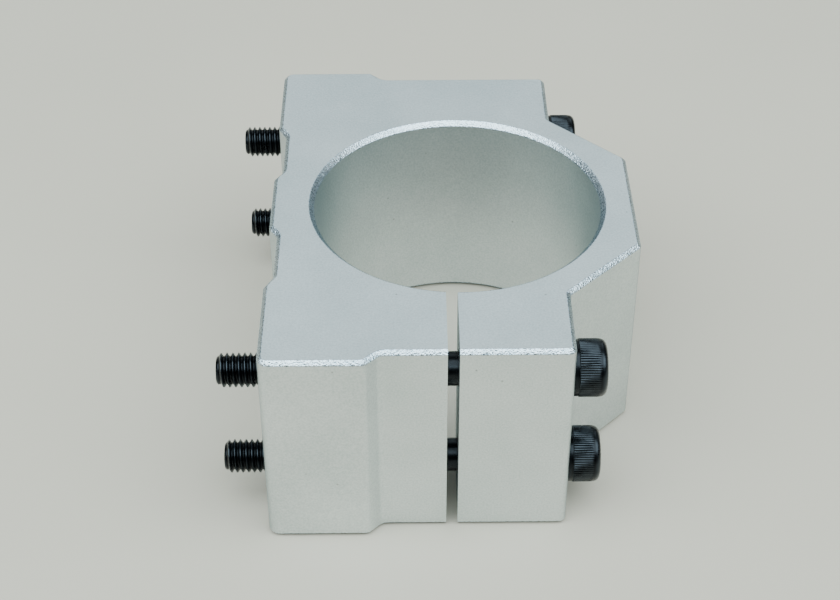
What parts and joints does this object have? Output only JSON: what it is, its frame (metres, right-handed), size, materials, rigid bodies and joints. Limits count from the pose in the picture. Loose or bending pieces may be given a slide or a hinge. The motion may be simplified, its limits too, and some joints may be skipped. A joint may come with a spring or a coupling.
{
  "type": "split spindle clamp",
  "caption": "Split clamp block with a round through bore, an octagonal ring wall, a slit ear and socket head screws that clamp it and fasten it to a plate.",
  "frame": {"origin": "centre of the mounting face, on its middle pad and at half the block's height", "axes": "+X out of the machine plate, square to the mounting face, towards the bore; +Y along the face, away from the slit; +Z along the bore axis"},
  "size_m": [0.0734, 0.09, 0.04],
  "materials": {
    "anodised_aluminium": "bead-blasted, clear silver anodised, satin",
    "black_oxide_steel": "black oxide, lightly oiled"
  },
  "bodies": {
    "base": {"clamp_base": "anodised_aluminium"},
    "jaw": {"clamp_jaw": "anodised_aluminium"},
    "upper_clamp_screw": {"clamp_screw_upper": "black_oxide_steel"},
    "lower_clamp_screw": {"clamp_screw_lower": "black_oxide_steel"},
    "upper_fixing_screw": {"fixing_screw_upper": "black_oxide_steel"},
    "lower_fixing_screw": {"fixing_screw_lower": "black_oxide_steel"}
  },
  "joints": [
    {"name": "jaw_flex", "type": "hinge", "parent": "base", "child": "jaw", "pos_m": [0.0543, 0.0206, 0], "axis": [0, 0, -1], "range_deg": [0, 0.7], "stiffness_Nm_per_rad": 1600},
    {"name": "upper_clamp_screw_travel", "type": "slide", "parent": "base", "child": "upper_clamp_screw", "axis": [-1, 0, 0], "range_m": [0, 0.0007]},
    {"name": "lower_clamp_screw_travel", "type": "slide", "parent": "base", "child": "lower_clamp_screw", "axis": [-1, 0, 0], "range_m": [0, 0.0007]},
    {"name": "upper_fixing_screw_travel", "type": "slide", "parent": "base", "child": "upper_fixing_screw", "axis": [1, 0, 0], "range_m": [0, 0.062]},
    {"name": "lower_fixing_screw_travel", "type": "slide", "parent": "base", "child": "lower_fixing_screw", "axis": [1, 0, 0], "range_m": [0, 0.062]}
  ],
  "couplings": [
    {"joint": "upper_clamp_screw_travel", "follows": "jaw_flex", "m_per_rad": 0.0556},
    {"joint": "lower_clamp_screw_travel", "follows": "jaw_flex", "m_per_rad": 0.0556}
  ]
}
